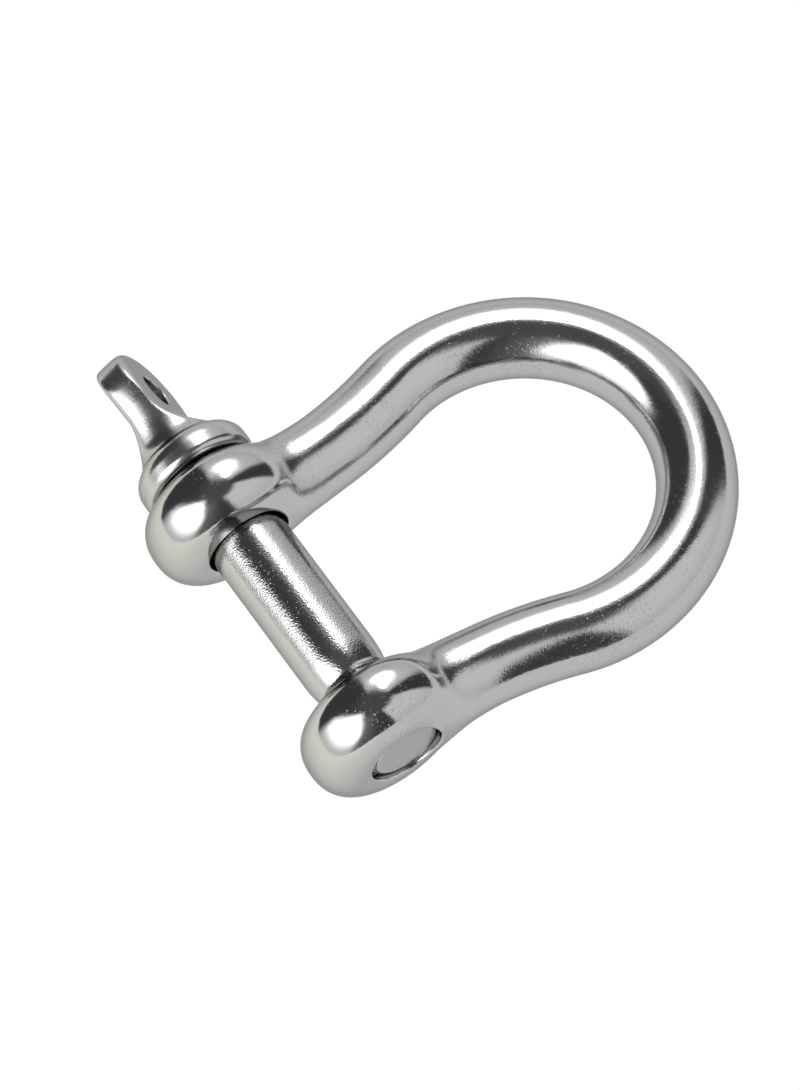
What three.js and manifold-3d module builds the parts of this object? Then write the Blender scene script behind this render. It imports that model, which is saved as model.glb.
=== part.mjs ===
// Bow shackle of the 10 mm size: one forged bow with two eyes, and one screw pin with a thumb tab.
// Millimetres, +Z up. The shackle lies on the ground plane z = 0, on both eyes and on the crown of the bow.
// X runs along the pin towards the threaded eye, and Y runs from the pin towards the crown.

import * as THREE from "three";
import { mergeVertices, toCreasedNormals } from "three/addons/utils/BufferGeometryUtils.js";
import Module from "manifold-3d";

const { degToRad, smoothstep } = THREE.MathUtils;

// Bow rod, in the plane of the bow. That plane's origin is on the pin axis, midway between the eyes.
const ROD_RADIUS = 5;
const CROWN_RADIUS = 20.6; // centreline of the large arc
const CROWN_RISE = 21.05; // how far its top is from its centre: the crown is very slightly drawn out
const CROWN_CENTRE_Y = 31.7;
const CROWN_TURN = degToRad(17.6); // how far the large arc runs on past its widest point
const THROAT_RADIUS = 58.8; // centreline of the gentle reverse arcs
const THROAT_Y = CROWN_CENTRE_Y - (CROWN_RADIUS + THROAT_RADIUS) * Math.sin(CROWN_TURN); // where they start

// Root, where a rod runs into its eye
const ROOT_FILLET = 2.5; // hollow rounding between the eye's rim and the rod
const ROOT_DEPTH = 2.5; // how far the root reaches on into the eye
const ROOT_RADIUS = 5.2; // half width of the rod where the root is thickest
const ROOT_PEAK_Y = 9.3; // where that is
const ROOT_END_Y = 14.5; // where it has faded out
const ROOT_OVERLAP = 0.6; // how far the plain round rod reaches back into it

// Eyes
const EYE_X = (CROWN_RADIUS + THROAT_RADIUS) * Math.cos(CROWN_TURN) - THROAT_RADIUS; // middle plane
const EYE_RADIUS = 10.05;
const EYE_DROP = 0.54; // the rims are forged slightly off the bores' axis, away from the crown
const EYE_HALF = 4.8; // half of the thickness between the flat faces
const EYE_EDGE = 3.9; // rounding of the rim
const CLEAR_BORE_RADIUS = 5.55; // hole for the shank, in the eye at -X
const TAPPED_MOUTH_RADIUS = 4.8; // hole at both mouths of the threaded eye, at +X
const BORE_CHAMFER = 0.3;

// Pin. Its own axis is X, and its tip is at +X.
const TIP_X = EYE_X + EYE_HALF - 0.4; // the tip ends just inside the eye's outer face
const TIP_RADIUS = 4.29;
const SHANK_RADIUS = 5;
const SHOULDER_X = 11.3; // end of the plain shank
const SHOULDER_ROUND = 1.1;
const COLLAR_X = -22.05; // underside of the collar
const COLLAR_RADIUS = 7.55;
const COLLAR_CREST_X = -24.15;
const COLLAR_BEAD = 2.45; // rounding of the collar towards the tab

// Head: a round bar with a domed end, flattened into a thumb tab
const TAB_CENTRE_X = -35.4; // lanyard hole, and centre of the round end
const TAB_RADIUS = 6.2;
const TAB_THICKNESS = 4.2;
const TAB_HOLE_RADIUS = 2.2;
const TAB_TURN = degToRad(28); // how the tab stands when the pin is screwed home
const NECK_X = -32.6; // the flats end here, and run out into the neck
const NECK_END_X = -27;
const NECK_THICKNESS = 10.5; // across the flats' run-out, at the neck's end
const NECK_RADIUS = 5.72;
const NECK_FLARE = 0.7; // how much the bar widens again towards the collar

// Thread. The crests stand clear of each other, so that the pin can also be drawn straight out.
const THREAD_PITCH = 1.5;
const THREAD_DEPTH = 0.65;
const THREAD_CREST = 4.62; // outer radius on the pin
const THREAD_START = 12.2;
const TAPPED_CREST = 4.85; // inner radius in the eye

const STEEL = { color: 0xb9bbbd, roughness: 0.12, metalness: 1 };

const wasm = await Module();
wasm.setup();

// A closed three.js geometry as a solid that can be joined and cut.
function solid(geometry) {
  const bare = geometry.index ? geometry.toNonIndexed() : geometry.clone();
  bare.deleteAttribute("normal");
  bare.deleteAttribute("uv");
  const merged = mergeVertices(bare, 1e-4);
  return new wasm.Manifold(
    new wasm.Mesh({
      numProp: 3,
      vertProperties: merged.attributes.position.array,
      triVerts: new Uint32Array(merged.index.array),
    }),
  );
}

// A solid as a named mesh with its own steel.
function steelMesh(name, body) {
  const { vertProperties, triVerts } = body.getMesh();
  const geometry = new THREE.BufferGeometry();
  geometry.setAttribute("position", new THREE.BufferAttribute(vertProperties, 3));
  geometry.setIndex(new THREE.BufferAttribute(triVerts, 1));
  const mesh = new THREE.Mesh(toCreasedNormals(geometry, 0.6), new THREE.MeshStandardMaterial(STEEL));
  mesh.name = name;
  return mesh;
}

// Points along a circular arc, both ends included.
function arc(cx, cy, radius, from, to, count) {
  return Array.from({ length: count + 1 }, (_, i) => {
    const angle = from + ((to - from) * i) / count;
    return [cx + radius * Math.cos(angle), cy + radius * Math.sin(angle)];
  });
}

// A body of revolution about X. The profile lists [x, radius] from +X to -X, and starts and ends on the axis.
function turned(profile, segments) {
  const points = profile.map(([x, r]) => new THREE.Vector2(r, x)).reverse();
  return new THREE.LatheGeometry(points, segments).rotateZ(-Math.PI / 2);
}

// A bar along X with elliptical sections. Each station lists [x, half width in Y, half thickness in Z, shift in Y].
function lofted(stations, segments) {
  const section = new THREE.Shape().absarc(0, 0, 1, 0, 2 * Math.PI);
  const last = stations.length - 1;
  const options = { depth: last, steps: last, curveSegments: segments / 2, bevelEnabled: false };
  const bar = new THREE.ExtrudeGeometry(section, options);
  const { position } = bar.attributes;
  for (let i = 0; i < position.count; i += 1) {
    const [x, halfY, halfZ, shift = 0] = stations[Math.round(position.getZ(i))];
    position.setXYZ(i, x, position.getX(i) * halfY + shift, position.getY(i) * halfZ);
  }
  return bar;
}

// A rod along X whose wall is a right-hand thread.
function threaded(from, to, crest) {
  const rows = Math.round(((to - from) / THREAD_PITCH) * 6);
  const rod = new THREE.CylinderGeometry(crest, crest, to - from, 20, rows).rotateZ(-Math.PI / 2);
  rod.translate((from + to) / 2, 0, 0);
  const { position } = rod.attributes;
  const p = new THREE.Vector3();
  for (let i = 0; i < position.count; i += 1) {
    p.fromBufferAttribute(position, i);
    const turns = p.x / THREAD_PITCH - Math.atan2(p.z, p.y) / (2 * Math.PI);
    const wave = Math.abs(2 * (turns - Math.floor(turns)) - 1); // 1 on a crest, 0 in a root
    const shrink = 1 - (THREAD_DEPTH * (1 - smoothstep(wave, 0.15, 0.85))) / crest;
    position.setXYZ(i, p.x, p.y * shrink, p.z * shrink);
  }
  return rod;
}

// A hole's tool along X, with a chamfer at both mouths.
function hole(from, to, radius) {
  const over = 0.5;
  const mouth = radius + BORE_CHAMFER + over;
  const profile = [
    [to + over, 0],
    [to + over, mouth],
    [to - BORE_CHAMFER, radius],
    [from + BORE_CHAMFER, radius],
    [from - over, mouth],
    [from - over, 0],
  ];
  return turned(profile, 32);
}

// Centreline of the bow, from one root round the crown to the other.
class BowLine extends THREE.Curve {
  constructor(startY) {
    super();
    const side = EYE_X + THROAT_RADIUS;
    const skipped = Math.asin((startY - THROAT_Y) / THROAT_RADIUS);
    this.flat = new THREE.Path();
    this.flat.absarc(side, THROAT_Y, THROAT_RADIUS, Math.PI - skipped, Math.PI - CROWN_TURN, true);
    this.flat.absarc(0, CROWN_CENTRE_Y, CROWN_RADIUS, -CROWN_TURN, 0, false);
    this.flat.absellipse(0, CROWN_CENTRE_Y, CROWN_RADIUS, CROWN_RISE, 0, Math.PI, false);
    this.flat.absarc(0, CROWN_CENTRE_Y, CROWN_RADIUS, Math.PI, Math.PI + CROWN_TURN, false);
    this.flat.absarc(-side, THROAT_Y, THROAT_RADIUS, CROWN_TURN, skipped, true);
  }
  getPoint(t, target = new THREE.Vector3()) {
    const p = this.flat.getPointAt(t);
    return target.set(p.x, p.y, 0);
  }
}

// The hollow fillet between an eye's rim and its rod, as positions and radii seen from the side.
function filletCurve() {
  const reach = EYE_RADIUS + ROOT_FILLET;
  const rise = ROD_RADIUS + ROOT_FILLET;
  const run = Math.sqrt(reach * reach - rise * rise);
  return arc(run - EYE_DROP, rise, ROOT_FILLET, Math.atan2(rise, run) - Math.PI, -Math.PI / 2, 5);
}

// How far the rod's centreline has left the eye's middle plane at a height above the pin.
function throatShift(y) {
  const rise = Math.max(0, y - THROAT_Y);
  return THROAT_RADIUS - Math.sqrt(THROAT_RADIUS * THROAT_RADIUS - rise * rise);
}

// The root of the rod at +X. It starts inside the eye, runs up the fillet and fades out on the rod.
function eyeRoot() {
  const curve = filletCurve();
  const [start, startHeight] = curve[0];
  const [end] = curve[curve.length - 1];
  const inside = start - ROOT_DEPTH;
  const flush = EYE_HALF - 0.1;
  const stations = [[inside, startHeight - 0.4], ...curve];
  for (const share of [0.25, 0.5, 0.75, 1]) {
    stations.push([end + share * (ROOT_END_Y - end), ROD_RADIUS - 0.03 * share]);
  }
  const bar = stations.map(([y, halfHeight]) => {
    const grown = (ROOT_RADIUS - flush) * smoothstep(y, inside, ROOT_PEAK_Y);
    const faded = (ROOT_RADIUS - ROD_RADIUS) * smoothstep(y, ROOT_PEAK_Y, ROOT_END_Y);
    return [y, flush + grown - faded, halfHeight, -throatShift(y)];
  });
  return lofted(bar, 24).rotateZ(Math.PI / 2).translate(EYE_X, 0, 0);
}

// One eye as a thick disc about X with a rounded rim.
function eyeDisc() {
  const flat = EYE_HALF - EYE_EDGE;
  const quarter = Math.PI / 2;
  const profile = [
    [EYE_HALF, 0],
    ...arc(flat, EYE_RADIUS - EYE_EDGE, EYE_EDGE, 0, quarter, 5),
    ...arc(-flat, EYE_RADIUS - EYE_EDGE, EYE_EDGE, quarter, 2 * quarter, 5),
    [-EYE_HALF, 0],
  ];
  return turned(profile, 40);
}

function makeBow() {
  const section = new THREE.Shape().absarc(0, 0, ROD_RADIUS, 0, 2 * Math.PI);
  const sweep = { steps: 52, curveSegments: 12, extrudePath: new BowLine(ROOT_END_Y - ROOT_OVERLAP) };
  let bow = solid(new THREE.ExtrudeGeometry(section, sweep));
  for (const turn of [0, Math.PI]) {
    bow = bow.add(solid(eyeDisc().translate(EYE_X, -EYE_DROP, 0).rotateY(turn)));
    bow = bow.add(solid(eyeRoot().rotateY(turn)));
  }
  const inner = EYE_X - EYE_HALF;
  const outer = EYE_X + EYE_HALF;
  return bow
    .subtract(solid(hole(-outer, -inner, CLEAR_BORE_RADIUS)))
    .subtract(solid(hole(inner, outer, TAPPED_MOUTH_RADIUS)))
    .subtract(solid(threaded(inner + 0.7, outer - 0.9, TAPPED_CREST + THREAD_DEPTH)));
}

// Shank, shoulder, undercut and collar, without the thread.
function pinBody() {
  const undercut = THREAD_CREST - THREAD_DEPTH;
  const round = arc(SHOULDER_X - SHOULDER_ROUND, SHANK_RADIUS - SHOULDER_ROUND, SHOULDER_ROUND, 0, Math.PI / 2, 4);
  const bead = arc(COLLAR_CREST_X, COLLAR_RADIUS - COLLAR_BEAD, COLLAR_BEAD, Math.PI / 2, Math.PI, 8);
  const profile = [
    [THREAD_START + 0.3, 0],
    [THREAD_START + 0.3, undercut],
    [SHOULDER_X, undercut],
    ...round.slice(1),
    [COLLAR_X, SHANK_RADIUS],
    [COLLAR_X, COLLAR_RADIUS - 0.75],
    [COLLAR_X - 0.5, COLLAR_RADIUS - 0.3],
    [COLLAR_X - 1.3, COLLAR_RADIUS - 0.06],
    ...bead,
    [COLLAR_CREST_X - COLLAR_BEAD, 0],
  ];
  return turned(profile, 40);
}

// The threaded end, chamfered at the tip.
function pinThread() {
  const chamfer = THREAD_CREST - TIP_RADIUS;
  const envelope = [
    [TIP_X, 0],
    [TIP_X, TIP_RADIUS],
    [TIP_X - chamfer, THREAD_CREST + 0.01],
    [THREAD_START + chamfer, THREAD_CREST + 0.01],
    [THREAD_START, TIP_RADIUS - 0.1],
    [THREAD_START, 0],
  ];
  const rod = threaded(THREAD_START - 0.5, TIP_X + 0.5, THREAD_CREST);
  return solid(rod).intersect(solid(turned(envelope, 40)));
}

// Radius of the head's round bar at x.
function barRadius(x) {
  const taper = (TAB_RADIUS - NECK_RADIUS) * smoothstep(x, TAB_CENTRE_X, NECK_END_X - 2.5);
  return TAB_RADIUS - taper + NECK_FLARE * smoothstep(x, NECK_END_X - 1.6, NECK_END_X + 0.2);
}

// Half the thickness that the flats leave at x.
function flatHeight(x) {
  const run = Math.max(0, (x - NECK_X) / (NECK_END_X - NECK_X));
  return TAB_THICKNESS / 2 + ((NECK_THICKNESS - TAB_THICKNESS) / 2) * run * run;
}

// The bar, cut to its flats, with the lanyard hole through them.
function pinHead() {
  const from = COLLAR_CREST_X - 1;
  const steps = Array.from({ length: 17 }, (_, i) => from + ((TAB_CENTRE_X - from) * i) / 16);
  const sides = steps.map((x) => [x, barRadius(x)]);
  const end = arc(TAB_CENTRE_X, 0, TAB_RADIUS, Math.PI / 2, Math.PI, 12).slice(1);
  const bar = turned([[from, 0], ...sides, ...end], 48);
  const reach = 2 * TAB_RADIUS;
  const ramp = steps.filter((x) => x > NECK_X).map((x) => [x, flatHeight(x)]);
  const upper = [...ramp, [NECK_X, TAB_THICKNESS / 2], [TAB_CENTRE_X - reach, TAB_THICKNESS / 2]];
  const lower = upper.map(([x, height]) => [x, -height]).reverse();
  const outline = new THREE.Shape([...upper, ...lower].map(([x, height]) => new THREE.Vector2(x, height)));
  const slab = new THREE.ExtrudeGeometry(outline, { depth: 2 * reach, bevelEnabled: false });
  slab.translate(0, 0, -reach).rotateX(Math.PI / 2);
  const drill = new THREE.CylinderGeometry(TAB_HOLE_RADIUS, TAB_HOLE_RADIUS, reach, 28);
  drill.rotateX(Math.PI / 2).translate(TAB_CENTRE_X, 0, 0);
  return solid(bar).intersect(solid(slab)).subtract(solid(drill));
}

function makePin() {
  return solid(pinBody())
    .add(pinThread())
    .add(pinHead());
}

const bow = steelMesh("bow", makeBow());
const pin = steelMesh("pin", makePin());
pin.rotation.x = TAB_TURN - Math.PI / 2;

// The bow leans until it rests on the eyes and the crown.
const crownReach = CROWN_CENTRE_Y + CROWN_RISE;
const lean = Math.asin((EYE_RADIUS - ROD_RADIUS) / (crownReach + EYE_DROP));
const shackle = new THREE.Group();
shackle.name = "bow_shackle";
shackle.add(bow, pin);
shackle.rotation.x = -lean;

// The origin is on the ground, under the middle of the whole part.
const [left, right] = [TAB_CENTRE_X - TAB_RADIUS, CROWN_RADIUS + ROD_RADIUS];
const back = crownReach * Math.cos(lean) + ROD_RADIUS;
const front = -EYE_DROP * Math.cos(lean) - EYE_RADIUS;
shackle.position.set(-(left + right) / 2, -(front + back) / 2, EYE_RADIUS - EYE_DROP * Math.sin(lean));

export default shackle;
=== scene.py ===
"""Bow shackle: finished surfaces of the bow and of the screw pin, on a plain pale floor in a small studio.

Each piece is an implicit surface, written below as a distance field in millimetres, and meshed at load time.
The bow's own frame has its origin on the pin axis, midway between the eyes: X along the pin towards the
threaded eye, Y towards the crown, and Z square to the bow's plane. The shackle leans on the floor, so that
frame is tilted.
"""

import math

import bpy
import numpy as np
from mathutils import Matrix, Vector


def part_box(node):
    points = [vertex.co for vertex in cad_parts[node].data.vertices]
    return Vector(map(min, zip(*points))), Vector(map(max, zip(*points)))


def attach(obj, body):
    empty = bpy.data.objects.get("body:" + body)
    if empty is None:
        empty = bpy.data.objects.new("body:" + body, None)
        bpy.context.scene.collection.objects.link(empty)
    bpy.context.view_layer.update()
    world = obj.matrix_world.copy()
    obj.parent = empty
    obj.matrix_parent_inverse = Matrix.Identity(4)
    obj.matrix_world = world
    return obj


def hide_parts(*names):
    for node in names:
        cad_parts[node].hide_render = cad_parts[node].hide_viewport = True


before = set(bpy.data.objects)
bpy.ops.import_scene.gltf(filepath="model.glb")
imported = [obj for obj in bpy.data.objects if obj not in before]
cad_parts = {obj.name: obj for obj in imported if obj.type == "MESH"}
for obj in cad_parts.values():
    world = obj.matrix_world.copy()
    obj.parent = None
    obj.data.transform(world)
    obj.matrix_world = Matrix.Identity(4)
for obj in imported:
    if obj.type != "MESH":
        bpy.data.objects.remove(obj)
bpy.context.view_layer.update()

MM = 0.001

# Bow rod
ROD_RADIUS = 5.0
CROWN_RADIUS = 20.6
CROWN_RISE = 21.05
CROWN_CENTRE_Y = 31.7
CROWN_TURN = math.radians(17.6)
THROAT_RADIUS = 58.8
THROAT_Y = CROWN_CENTRE_Y - (CROWN_RADIUS + THROAT_RADIUS) * math.sin(CROWN_TURN)
ROOT_RADIUS = 5.2
ROOT_PEAK_Y = 8.5
ROOT_END_Y = 14.5
ROOT_BLEND = 3.2
ROD_END_Y = 5.8

# Eyes, and the flanks that trim the rod's two ends to the eyes' width
EYE_X = (CROWN_RADIUS + THROAT_RADIUS) * math.cos(CROWN_TURN) - THROAT_RADIUS
EYE_RADIUS = 10.05
EYE_DROP = 0.54
EYE_HALF = 4.8
EYE_POWER = 2.3
FLANK_SPREAD = 0.6
FLANK_Y = 5.0
FLANK_END_Y = 8.5
FLANK_EASE = 0.6

# Bores through the eyes: the clear one is on the side of negative X and the tapped one on the other
CLEAR_BORE = 5.35
CLEAR_EASE = 0.7
TAPPED_BORE = 4.7
TAPPED_EASE = 0.4
TAPPED_LEAD_IN = (0.6, 1.2)
BORES_FROM_X = 8.0

# Shank
SHANK_START_X = -24.05
SHANK_RADIUS = 5.0
SHANK_FILLET = 0.3
SHOULDER_X = 11.3
SHOULDER_ROUND = 1.1
TAPER_X = 7.2
TAPER_DEPTH = 0.55

# Thread
UNDERCUT_X = 5.0
UNDERCUT_RADIUS = 3.95
THREAD_START = 12.2
THREAD_PITCH = 1.5
THREAD_DEPTH = 0.65
THREAD_CREST = 4.62
THREAD_FLANK = (0.15, 0.85)
TIP_SET_BACK = 0.4
TIP_X = EYE_X + EYE_HALF - TIP_SET_BACK
TIP_RADIUS = 4.42
TIP_EASE = 0.25

# Collar and neck
COLLAR_X = -22.05
COLLAR_CREST_X = -24.15
COLLAR_RADIUS = 7.55
COLLAR_BEAD = 2.45
COLLAR_UNDER_EASE = 1.1
NECK_X = -32.6
NECK_END_X = -27.0
NECK_END_SHARE = 1.35
NECK_HALF = 5.25
NECK_RADIUS = 5.4
NECK_FLARE = 1.8
NECK_FILLET = 0.25
FLARE_X = -28.6
FLARE_END_X = -25.2
FLARE_POWER = 2.2

# Tab. Each span is two places along the pin, followed by the value at each of them
TAB_X = -35.4
TAB_RADIUS = 6.2
TAB_HALF = 2.1
TAB_POWER = 2.25
TAB_HOLE = 2.2
TAB_HOLE_EASE = 0.5
TAB_TURN = math.radians(28)
TAB_GIRTH_SPAN = (-37.0, -28.8, TAB_RADIUS, NECK_RADIUS)
TAB_DOME_SPAN = (-38.5, -34.5, 0.25, 1.0)
TAB_FRONT_EASE_SPAN = (-38.5, -34.0, 1.9, 0.6)
TAB_BACK_EASE_SPAN = (-39.0, -36.0, 0.6, 1.5)

# Resting pose: the bow leans until it stands on both eyes and on the crown
CROWN_REACH = CROWN_CENTRE_Y + CROWN_RISE
LEAN = math.asin((EYE_RADIUS - ROD_RADIUS) / (CROWN_REACH + EYE_DROP))

# Meshing: grid limits and cells in millimetres, blocks of cells, and rounds that settle the points
BOW_LOW, BOW_HIGH = (-26.5, -11.5, -11), (26.5, 59, 11)
PIN_LOW, PIN_HIGH = (-42.5, -8.5, -8.5), (22, 8.5, 8.5)
BOW_CELL, PIN_CELL = ((0.2, 0.14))
BLOCK = 4
BLOCK_REACH = 1.6
SLOPE_STEP = 0.01
SLOPE_FLOOR = 0.2
FIRST_ROUNDS = 3
RELAXING_ROUNDS = 3
LAST_ROUNDS = 2
TINY = 1e-9

# Wear, from 0 to 1, along the bow's Y and along the pin
ROD_WEAR = 0.30
ROD_WEAR_RISE = (7.5, 9.5)
ROOT_WEAR = 0.60
ROOT_WEAR_RISE = (6.5, 8.0)
ROOT_WEAR_FALL = (9.5, 13.5)
PIN_WEAR_SPAN = (-21.5, -19.0, 0.25, 1.0)

# Steel. Roughness is as made and then where worn. A noise is its scale per metre, its detail and its
# roughness, and its span is two of its values and then what they become. Depths are in metres
STEEL = (0.45, 0.45, 0.45, 1)
STEEL_EDGE = (0.45, 0.45, 0.45, 1)
STEEL_STAINED = (0.324, 0.324, 0.324, 1)
BOW_ROUGHNESS = (0.10, 0.20)
PIN_ROUGHNESS = (0.22, 0.13)
PATCH_NOISE = (110, 3, 0.5)
PATCH_SPAN = (0.42, 0.62, 0.15, 1)
CLOUD_NOISE = (170, 5, 0.6)
CLOUD_SPAN = (0.3, 0.7, 0.75, 1.3)
SPECK_NOISE = (3200, 4, 0.7)
SPECK_SPAN = (0.5, 0.75, 0, 1)
PIT_NOISE = (3600, 2, 0.5)
PIT_SPAN = (0.64, 0.76, 0, 1)
WAVE_NOISE = (220, 2, 0.5)
RIPPLE_NOISE = (800, 3, 0.5)
GRAIN_NOISE = (2600, 3, 0.5)
DENT_NOISE = (5000, 0.5, 0.5)
WAVE_DEPTH = 0.000012
RIPPLE_DEPTH = 0.000010
DENT_DEPTH = 0.000024
GRAIN_DEPTH = 0.000004
PIT_DEPTH = 0.000014

# Floor, in metres. It is lit from below, like a light table, so that it stays pale and without shadows
FLOOR_HALF = 3.0
FLOOR_COOL = (1.02, 1.03, 1.04, 1)
FLOOR_WARM = (1.33, 1.34, 1.17, 1)
FLOOR_WARM_Y = -0.10

# Light tent, with its radius in metres and places on it in degrees. A window is its two sides and then how
# softly each of them fades, and a span is two elevations and then the value at each of them
TENT_RADIUS = 3.0
TENT_COLUMNS = 360
TENT_ROWS = 92
TENT_LEFT = -180.0
TENT_LOWEST = -1.0
DARK_CLOTH = np.array([0.070, 0.071, 0.077])
ROOF_FADE = (55, 75)
ROOF_GAIN = 0.75
SPILL = 0.28
SPILL_WINDOW = (20, 66, 10, 60)
WALL_TOP = (58, 70)
WALL_SHADE_SPAN = (0, 35, 0.86, 1.02)
WALL_LEFT = np.array([0.98, 0.98, 0.99])
WALL_LEFT_WINDOW = (-160, -97, 9, 9)
WALL_RIGHT = np.array([1.06, 1.06, 1.04])
WALL_RIGHT_WINDOW = (101, 168, 4, 9)
KEY_GLOW = 3.8
KEY_AZIMUTH, KEY_ELEVATION = 7, 28
KEY_REACH_LEFT, KEY_REACH_RIGHT, KEY_REACH_UP = 36, 46, 41
KEY_FADE = (0.74, 1.18)
KEY_SHADE_SPAN = (4, 34, 0.26, 1.0)
HALO_AT = (-128, 41)
HALO_GLOW = 2.7
HALO_FADE = (8, 20)
LAMP_AT = (-136, 56)
LAMP_GLOW = 11.0
LAMP_FADE = (2, 6)

# Camera, placed about the bow's own frame. Its distance and target are in millimetres
CAMERA_AZIMUTH, CAMERA_ELEVATION, CAMERA_ROLL = 55.44, 62.13, 0.67
CAMERA_DISTANCE = 573.6
CAMERA_TARGET = Vector((-1.70, 14.82, 0))
CAMERA_LENS = 158.2
CAMERA_SENSOR = 36
CAMERA_NEAR, CAMERA_FAR = 0.01, 20


def smoothstep(value, low, high):
    t = np.clip((value - low) / (high - low), 0, 1)
    return t * t * (3 - 2 * t)


def eased(value, low, high, at_low, at_high):
    """A smooth change from one number to another while the value goes from low to high."""
    return at_low + (at_high - at_low) * smoothstep(value, low, high)


def join(a, b, reach):
    """Union of two fields with a smooth fillet."""
    near = np.maximum(reach - np.abs(a - b), 0) / reach
    return np.minimum(a, b) - near**3 * reach / 6


def both(a, b, reach):
    """Intersection with an eased edge."""
    return -join(-a, -b, reach)


def rounded(across, along, edge):
    """A rectangle's field, from its two slab distances, with its corners rounded by edge."""
    outside = np.hypot(np.maximum(across + edge, 0), np.maximum(along + edge, 0))
    return outside + np.minimum(np.maximum(across, along) + edge, 0) - edge


def oval(across, along, reach, power):
    """A rounded rectangle's field, whose corner is one smooth curve from the middle plane to the flank."""
    across = np.maximum(across + reach, 0) + TINY
    along = np.maximum(along + reach, 0)
    return (across**power + along**power) ** (1 / power) - reach


def thread_wave(x, y, z):
    """1 on the crests of a right-hand thread about X, and 0 in its roots."""
    turns = x / THREAD_PITCH - np.arctan2(z, y) / (2 * np.pi)
    return smoothstep(np.abs(2 * (turns - np.floor(turns)) - 1), *THREAD_FLANK)


def rod_offset(x, y):
    """Distance from the bow's centreline, in its own plane and for x above 0."""
    squeeze = np.where(y > CROWN_CENTRE_Y, CROWN_RADIUS / CROWN_RISE, 1.0)
    rise = (y - CROWN_CENTRE_Y) * squeeze
    radius = np.hypot(x, rise) + TINY
    crown = np.abs(radius - CROWN_RADIUS) * radius / (np.hypot(x, rise * squeeze) + TINY)
    throat = np.abs(np.hypot(x - EYE_X - THROAT_RADIUS, y - THROAT_Y) - THROAT_RADIUS)
    leg = np.where(y > THROAT_Y, throat, np.abs(x - EYE_X))
    return np.where(np.arctan2(y - CROWN_CENTRE_Y, x) > -CROWN_TURN, crown, leg)


def bow_field(points):
    """The bent rod, an eye on each of its ends, and the bores."""
    side, y, z = points.T
    x = np.abs(side)
    face = np.abs(x - EYE_X) - EYE_HALF
    swell = (ROOT_RADIUS - ROD_RADIUS) * (1 - smoothstep(y, ROOT_PEAK_Y, ROOT_END_Y))
    below = np.maximum(ROD_END_Y - y, 0)
    rod = np.sqrt(rod_offset(x, y) ** 2 + z * z + below * below) - ROD_RADIUS - swell
    flank = face - FLANK_SPREAD * smoothstep(y, FLANK_Y, FLANK_END_Y)
    rod = np.where(y < FLANK_END_Y, both(rod, flank, FLANK_EASE), rod)
    eye = oval(face, np.hypot(y + EYE_DROP, z) - EYE_RADIUS, EYE_HALF, EYE_POWER)
    body = join(rod, eye, ROOT_BLEND)
    groove = THREAD_DEPTH * thread_wave(side, y, z) * smoothstep(-face, *TAPPED_LEAD_IN)
    bore = np.where(side > 0, TAPPED_BORE + groove, CLEAR_BORE)
    ease = np.where(side > 0, TAPPED_EASE, CLEAR_EASE)
    return np.where(x > BORES_FROM_X, both(body, bore - np.hypot(y, z), ease), body)


def head_field(x, y, z):
    """A round bar with a domed end, flattened into a tab, with a collar bead where it meets the shank."""
    flare = np.clip((x - FLARE_X) / (FLARE_END_X - FLARE_X), 0, 1) ** FLARE_POWER
    girth = eased(x, *TAB_GIRTH_SPAN) + NECK_FLARE * flare
    beyond = np.maximum(TAB_X - x, 0)
    across = y * y + eased(x, *TAB_DOME_SPAN) * z * z + TINY
    bar = (beyond**TAB_POWER + across ** (TAB_POWER / 2)) ** (1 / TAB_POWER) - girth
    t = np.clip((x - NECK_X) / (NECK_END_X - NECK_X), 0, NECK_END_SHARE)
    slope = 2 * (NECK_HALF - TAB_HALF) * t / (NECK_END_X - NECK_X)
    flat = (np.abs(z) - TAB_HALF - (NECK_HALF - TAB_HALF) * t * t) / np.hypot(1, slope)
    ease = np.where(z > 0, eased(x, *TAB_FRONT_EASE_SPAN), eased(x, *TAB_BACK_EASE_SPAN))
    stem = np.maximum(both(bar, flat, ease), x - COLLAR_CREST_X)
    rim = np.hypot(y, z) - COLLAR_RADIUS
    over = rounded(COLLAR_CREST_X - COLLAR_BEAD - x, rim, COLLAR_BEAD)
    under = rounded(x - COLLAR_X, rim, COLLAR_UNDER_EASE)
    head = join(stem, np.maximum(over, under), NECK_FILLET)
    return both(head, TAB_HOLE - np.hypot(x - TAB_X, y), TAB_HOLE_EASE)


def pin_field(points):
    """The shank, its undercut thread and the head."""
    x, y, z = points.T
    radius = np.hypot(y, z)
    taper = TAPER_DEPTH * np.clip((x - TAPER_X) / (SHOULDER_X - TAPER_X), 0, 1) ** 2
    ends = np.maximum(x - SHOULDER_X, SHANK_START_X - x)
    shank = rounded(ends, radius - SHANK_RADIUS + taper, SHOULDER_ROUND)
    wall = radius - THREAD_CREST + THREAD_DEPTH * (1 - thread_wave(x, y, z))
    wall = np.maximum(wall, (radius - TIP_RADIUS + x - TIP_X) * math.sqrt(0.5))
    wall = np.where(x < THREAD_START, radius - UNDERCUT_RADIUS, wall)
    thread = np.maximum(both(wall, x - TIP_X, TIP_EASE), UNDERCUT_X - x)
    return join(np.minimum(shank, thread), head_field(x, y, z), SHANK_FILLET)


def bow_wear(points):
    """The rod is a little worn, most of all where each leg leaves its eye. The eyes are not worn."""
    y = points[:, 1]
    root = smoothstep(y, *ROOT_WEAR_RISE) * (1 - smoothstep(y, *ROOT_WEAR_FALL))
    return ROD_WEAR * smoothstep(y, *ROD_WEAR_RISE) + ROOT_WEAR * root


def pin_wear(points):
    """The shank and its thread are worn all over, and the head only a little."""
    return eased(points[:, 0], *PIN_WEAR_SPAN)


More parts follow.
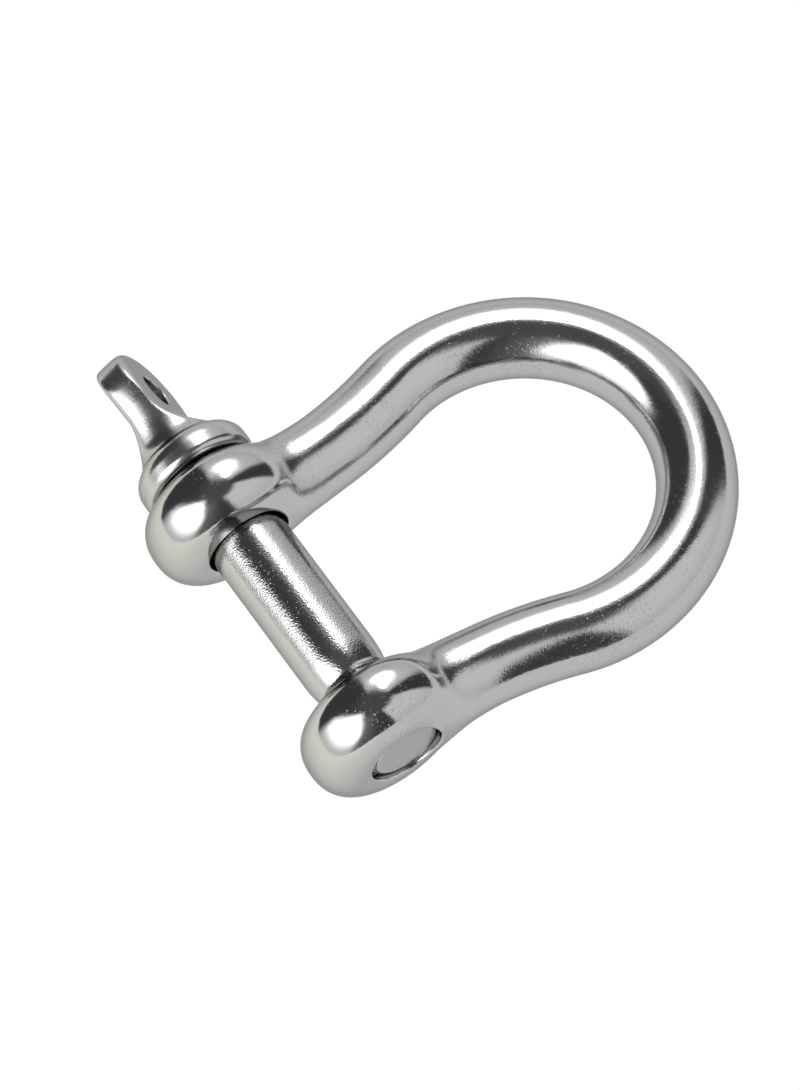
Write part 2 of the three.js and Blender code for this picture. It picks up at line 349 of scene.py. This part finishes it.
def sample(field, axes, cell):
    """The field on a grid. Only the blocks that the surface may cross are worked out in full."""
    coarse = [axis[::BLOCK] for axis in axes]
    grid = np.stack(np.meshgrid(*coarse, indexing="ij"), -1).reshape(-1, 3)
    rough = field(grid).reshape([len(axis) for axis in coarse])
    close = np.abs(rough) < BLOCK_REACH * BLOCK * cell
    values = rough
    for k in range(3):
        values = np.repeat(values, BLOCK, k)
        close = close | np.roll(close, -1, k) | np.roll(close, 1, k)
    values = values[tuple(slice(0, len(axis)) for axis in axes)].copy()
    for k in range(3):
        close = np.repeat(close, BLOCK, k)
    i, j, k = np.nonzero(close[tuple(slice(0, len(axis)) for axis in axes)])
    values[i, j, k] = field(np.stack([axes[0][i], axes[1][j], axes[2][k]], -1))
    return values


def gradient(field, points):
    parts = []
    for k in range(3):
        shift = np.zeros(3)
        shift[k] = SLOPE_STEP
        parts.append((field(points + shift) - field(points - shift)) / (2 * SLOPE_STEP))
    return np.stack(parts, -1)


def onto_surface(field, points, rounds):
    """The points after a few Newton steps towards the place where the field is 0."""
    for _ in range(rounds):
        slope = gradient(field, points)
        steepness = np.maximum((slope**2).sum(1), SLOPE_FLOOR)
        points = points - slope * (field(points) / steepness)[:, None]
    return points


def relaxed(points, quads):
    """Each point moved half way to the middle of its neighbours."""
    total = np.zeros_like(points)
    count = np.zeros(len(points))
    for a, b in ((0, 1), (1, 2), (2, 3), (3, 0)):
        for here, there in ((quads[:, a], quads[:, b]), (quads[:, b], quads[:, a])):
            for k in range(3):
                total[:, k] += np.bincount(here, points[there, k], len(points))
            count += np.bincount(here, minlength=len(points))
    return 0.5 * points + 0.5 * total / count[:, None]


def surface_net(field, low, high, cell):
    """Points and quads of the surface where the field is 0, with one point in each grid cell it crosses."""
    axes = [np.arange(a, b + cell, cell) for a, b in zip(low, high)]
    values = sample(field, axes, cell)
    shape = np.array(values.shape)
    corner = np.array([axis[0] for axis in axes])
    cells, crossings, quads = [], [], []
    for axis in range(3):
        u, v = (axis + 1) % 3, (axis + 2) % 3
        near = np.take(values, range(shape[axis] - 1), axis)
        far = np.take(values, range(1, shape[axis]), axis)
        edge = np.stack(np.nonzero((near < 0) != (far < 0)), -1)
        a, b = near[tuple(edge.T)], far[tuple(edge.T)]
        point = edge.astype(float)
        point[:, axis] += a / (a - b)
        ring = []
        for du, dv in ((1, 1), (0, 1), (0, 0), (1, 0)):
            cell_index = edge.copy()
            cell_index[:, u] -= du
            cell_index[:, v] -= dv
            number = np.ravel_multi_index(tuple(cell_index.T), shape)
            ring.append(number)
            cells.append(number)
            crossings.append(point)
        ring = np.stack(ring, -1)
        quads.append(np.where((a < 0)[:, None], ring, ring[:, ::-1]))
    number, place = np.unique(np.concatenate(cells), return_inverse=True)
    crossings = np.concatenate(crossings)
    count = np.bincount(place)
    points = np.stack([np.bincount(place, crossings[:, k]) / count for k in range(3)], -1)
    return corner + points * cell, np.searchsorted(number, np.concatenate(quads))


def piece(name, field, low, high, cell, placing, worn):
    """The field's surface as a Blender mesh, with the field's own slope as its shading normals."""
    points, quads = surface_net(field, low, high, cell)
    points = onto_surface(field, points, FIRST_ROUNDS)
    for _ in range(RELAXING_ROUNDS):
        points = onto_surface(field, relaxed(points, quads), 1)
    points = onto_surface(field, points, LAST_ROUNDS)
    normals = gradient(field, points)
    normals /= np.linalg.norm(normals, axis=1)[:, None] + TINY
    turn = np.array(placing.to_3x3().normalized())
    world = points @ np.array(placing.to_3x3()).T + np.array(placing.translation)
    mesh = bpy.data.meshes.new(name)
    mesh.vertices.add(len(points))
    mesh.vertices.foreach_set("co", world.astype(np.float32).ravel())
    mesh.loops.add(quads.size)
    mesh.loops.foreach_set("vertex_index", quads.astype(np.int32).ravel())
    mesh.polygons.add(len(quads))
    mesh.polygons.foreach_set("loop_start", np.arange(0, quads.size, 4, dtype=np.int32))
    mesh.polygons.foreach_set("use_smooth", np.ones(len(quads), bool))
    mesh.update(calc_edges=True)
    mesh.normals_split_custom_set_from_vertices((normals @ turn.T).tolist())
    mesh.attributes.new("worn", "FLOAT", "POINT").data.foreach_set("value", worn(points).astype(np.float32))
    item = bpy.data.objects.new(name, mesh)
    bpy.context.scene.collection.objects.link(item)
    return item


def steel(name, made, worn):
    """Stainless steel, with its roughness as made and where the mesh is worn. Worn steel has small dents."""
    material = bpy.data.materials.new(name)
    material.use_nodes = True
    nodes, links = material.node_tree.nodes, material.node_tree.links
    shader = nodes["Principled BSDF"]
    shader.inputs["Metallic"].default_value = 1.0
    shader.inputs["Specular Tint"].default_value = STEEL_EDGE
    place = nodes.new("ShaderNodeTexCoord").outputs["Object"]
    attribute = nodes.new("ShaderNodeAttribute")
    attribute.attribute_name = "worn"
    wear = attribute.outputs["Fac"]

    def noise(scale, detail, rough):
        node = nodes.new("ShaderNodeTexNoise")
        node.inputs["Scale"].default_value = scale
        node.inputs["Detail"].default_value = detail
        node.inputs["Roughness"].default_value = rough
        links.new(place, node.inputs["Vector"])
        return node.outputs["Fac"]

    def ramp(value, low, high, out_low, out_high):
        node = nodes.new("ShaderNodeMapRange")
        node.interpolation_type = "SMOOTHSTEP"
        for key, number in zip(("From Min", "From Max", "To Min", "To Max"), (low, high, out_low, out_high)):
            node.inputs[key].default_value = number
        links.new(value, node.inputs["Value"])
        return node.outputs["Result"]

    def arithmetic(operation, a, b):
        node = nodes.new("ShaderNodeMath")
        node.operation = operation
        for socket, value in zip(node.inputs, (a, b)):
            if isinstance(value, (int, float)):
                socket.default_value = value
            else:
                links.new(value, socket)
        return node.outputs["Value"]

    clouds = ramp(noise(*CLOUD_NOISE), *CLOUD_SPAN)
    roughness = arithmetic("ADD", made, arithmetic("MULTIPLY", wear, worn - made))
    links.new(arithmetic("MULTIPLY", roughness, clouds), shader.inputs["Roughness"])

    mix = nodes.new("ShaderNodeMix")
    mix.data_type = "RGBA"
    mix.inputs["A"].default_value = STEEL
    mix.inputs["B"].default_value = STEEL_STAINED
    patches = ramp(noise(*PATCH_NOISE), *PATCH_SPAN)
    specks = ramp(noise(*SPECK_NOISE), *SPECK_SPAN)
    links.new(arithmetic("MULTIPLY", patches, specks), mix.inputs["Factor"])
    links.new(mix.outputs["Result"], shader.inputs["Base Color"])

    layers = (
        (arithmetic("MULTIPLY", patches, ramp(noise(*PIT_NOISE), *PIT_SPAN)), -PIT_DEPTH),
        (noise(*GRAIN_NOISE), GRAIN_DEPTH),
        (arithmetic("MULTIPLY", wear, noise(*DENT_NOISE)), DENT_DEPTH),
        (noise(*RIPPLE_NOISE), RIPPLE_DEPTH),
        (noise(*WAVE_NOISE), WAVE_DEPTH),
    )
    bumps = None
    for value, height in layers:
        bump = nodes.new("ShaderNodeBump")
        bump.inputs["Strength"].default_value = 1.0
        bump.inputs["Distance"].default_value = abs(height)
        bump.invert = height < 0
        links.new(value, bump.inputs["Height"])
        if bumps:
            links.new(bumps, bump.inputs["Normal"])
        bumps = bump.outputs["Normal"]
    links.new(bumps, shader.inputs["Normal"])
    return material


def placing_of(pin_turn=0.0):
    """Bow frame in millimetres to the row frame in metres."""
    low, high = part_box("bow")
    right = CROWN_RADIUS + ROD_RADIUS
    front = -EYE_DROP * math.cos(LEAN) - EYE_RADIUS
    origin = Vector((high.x / MM - right, low.y / MM - front, EYE_RADIUS - EYE_DROP * math.sin(LEAN)))
    turn = Matrix.Rotation(-LEAN, 4, "X") @ Matrix.Rotation(pin_turn, 4, "X")
    return Matrix.Scale(MM, 4) @ Matrix.Translation(origin) @ turn


bow_place = placing_of()
bow = piece("bow_polished", bow_field, BOW_LOW, BOW_HIGH, BOW_CELL, bow_place, bow_wear)
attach(bow, "bow")
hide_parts("bow")
bow.data.materials.append(steel("bow_steel", *BOW_ROUGHNESS))

pin_place = placing_of(TAB_TURN - math.pi / 2)
pin = piece("pin_polished", pin_field, PIN_LOW, PIN_HIGH, PIN_CELL, pin_place, pin_wear)
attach(pin, "pin")
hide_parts("pin")
pin.data.materials.append(steel("pin_steel", *PIN_ROUGHNESS))


def shining(name):
    """A black material that only gives off light, and its shader."""
    material = bpy.data.materials.new(name)
    material.use_nodes = True
    shader = material.node_tree.nodes["Principled BSDF"]
    shader.inputs["Base Color"].default_value = (0, 0, 0, 1)
    shader.inputs["Specular IOR Level"].default_value = 0
    shader.inputs["Emission Strength"].default_value = 1
    return material, shader


def floor_material():
    """Light that turns from cool to warm in front of the shackle."""
    material, shader = shining("floor")
    nodes, links = material.node_tree.nodes, material.node_tree.links
    split = nodes.new("ShaderNodeSeparateXYZ")
    links.new(nodes.new("ShaderNodeTexCoord").outputs["Object"], split.inputs[0])
    change = nodes.new("ShaderNodeMapRange")
    change.interpolation_type = "SMOOTHSTEP"
    change.inputs["From Min"].default_value = 0.0
    change.inputs["From Max"].default_value = FLOOR_WARM_Y
    links.new(split.outputs["Y"], change.inputs["Value"])
    mix = nodes.new("ShaderNodeMix")
    mix.data_type = "RGBA"
    mix.inputs["A"].default_value = FLOOR_COOL
    mix.inputs["B"].default_value = FLOOR_WARM
    links.new(change.outputs["Result"], mix.inputs["Factor"])
    links.new(mix.outputs["Result"], shader.inputs["Emission Color"])
    return material


floor_mesh = bpy.data.meshes.new("floor")
floor_corners = [(FLOOR_HALF * a, FLOOR_HALF * b, 0) for a, b in ((-1, -1), (1, -1), (1, 1), (-1, 1))]
floor_mesh.from_pydata(floor_corners, [], [(0, 1, 2, 3)])
floor_mesh.materials.append(floor_material())
item = bpy.data.objects.new("floor", floor_mesh)
bpy.context.scene.collection.objects.link(item)


def direction(azimuth, elevation):
    """Towards a place on the light tent. Azimuth 0 is along -Y and 90 is along +X."""
    a, e = np.radians(azimuth), np.radians(elevation)
    return np.stack([np.sin(a) * np.cos(e), -np.cos(a) * np.cos(e), np.sin(e)], -1)


def window(value, low, high, soft_low, soft_high):
    """1 between low and high, fading to 0 over the two soft widths about them."""
    rise = smoothstep(value, low - soft_low / 2, low + soft_low / 2)
    return rise * (1 - smoothstep(value, high - soft_high / 2, high + soft_high / 2))


def spot(azimuth, elevation, middle, fade):
    """1 in the middle of a round spot, fading to 0 between two distances from it."""
    away = np.degrees(np.arccos(np.clip(direction(azimuth, elevation) @ direction(*middle), -1, 1)))
    return 1 - smoothstep(away, *fade)


def tent_glow(azimuth, elevation):
    """Radiance of the light tent at a column of places: dark cloth, a key light in front, and two walls,
    a lamp and its halo behind."""
    roof = smoothstep(elevation, *ROOF_FADE)
    glow = DARK_CLOTH * (1 + ROOF_GAIN * roof)
    glow = glow + SPILL * window(azimuth, *SPILL_WINDOW) * (1 - roof)
    height = 1 - smoothstep(elevation, *WALL_TOP)
    for sides, colour in ((WALL_LEFT_WINDOW, WALL_LEFT), (WALL_RIGHT_WINDOW, WALL_RIGHT)):
        cover = window(azimuth, *sides) * height
        glow = glow * (1 - cover) + colour * eased(elevation, *WALL_SHADE_SPAN) * cover
    aside = azimuth - KEY_AZIMUTH
    aside = np.where(aside < 0, -aside / KEY_REACH_LEFT, aside / KEY_REACH_RIGHT)
    above = np.maximum(elevation - KEY_ELEVATION, 0) / KEY_REACH_UP
    front = 1 - smoothstep(np.hypot(aside, above), *KEY_FADE)
    glow = glow * (1 - front) + KEY_GLOW * eased(elevation, *KEY_SHADE_SPAN) * front
    glow = glow + HALO_GLOW * spot(azimuth, elevation, HALO_AT, HALO_FADE)
    return glow + LAMP_GLOW * spot(azimuth, elevation, LAMP_AT, LAMP_FADE)


turns, heights = np.meshgrid(np.arange(TENT_COLUMNS) + TENT_LEFT, np.arange(TENT_ROWS) + TENT_LOWEST)
tent_corners = direction(turns.ravel(), heights.ravel()) * TENT_RADIUS
tent_faces = []
for row in range(TENT_ROWS - 1):
    for column in range(TENT_COLUMNS):
        beside = (column + 1) % TENT_COLUMNS
        low, high = row * TENT_COLUMNS, (row + 1) * TENT_COLUMNS
        tent_faces.append((low + column, high + column, high + beside, low + beside))
tent_mesh = bpy.data.meshes.new("light_tent")
tent_mesh.from_pydata(tent_corners.tolist(), [], tent_faces)
glow = np.ones((len(tent_corners), 4), np.float32)
glow[:, :3] = tent_glow(turns.reshape(-1, 1), heights.reshape(-1, 1))
tent_mesh.attributes.new("glow", "FLOAT_COLOR", "POINT").data.foreach_set("color", glow.ravel())
cloth, cloth_shader = shining("light_tent")
attribute = cloth.node_tree.nodes.new("ShaderNodeAttribute")
attribute.attribute_name = "glow"
cloth.node_tree.links.new(attribute.outputs["Color"], cloth_shader.inputs["Emission Color"])
tent_mesh.materials.append(cloth)
tent = bpy.data.objects.new("light_tent", tent_mesh)
bpy.context.scene.collection.objects.link(tent)

camera = bpy.data.objects.new("camera", bpy.data.cameras.new("camera"))
camera.data.sensor_width = CAMERA_SENSOR
camera.data.lens = CAMERA_LENS
camera.data.clip_start, camera.data.clip_end = CAMERA_NEAR, CAMERA_FAR
back = Vector(direction(CAMERA_AZIMUTH, CAMERA_ELEVATION))
roll = Matrix.Rotation(math.radians(CAMERA_ROLL), 4, "Z")
aim = (-back).to_track_quat("-Z", "Y").to_matrix().to_4x4() @ roll
frame_turn = Matrix.Rotation(-LEAN, 4, "X")
eye_point = bow_place @ (CAMERA_TARGET + back * CAMERA_DISTANCE)
camera.matrix_world = Matrix.Translation(eye_point) @ frame_turn @ aim
bpy.context.scene.collection.objects.link(camera)
bpy.context.scene.camera = camera
bpy.context.scene.view_settings.view_transform = "Standard"
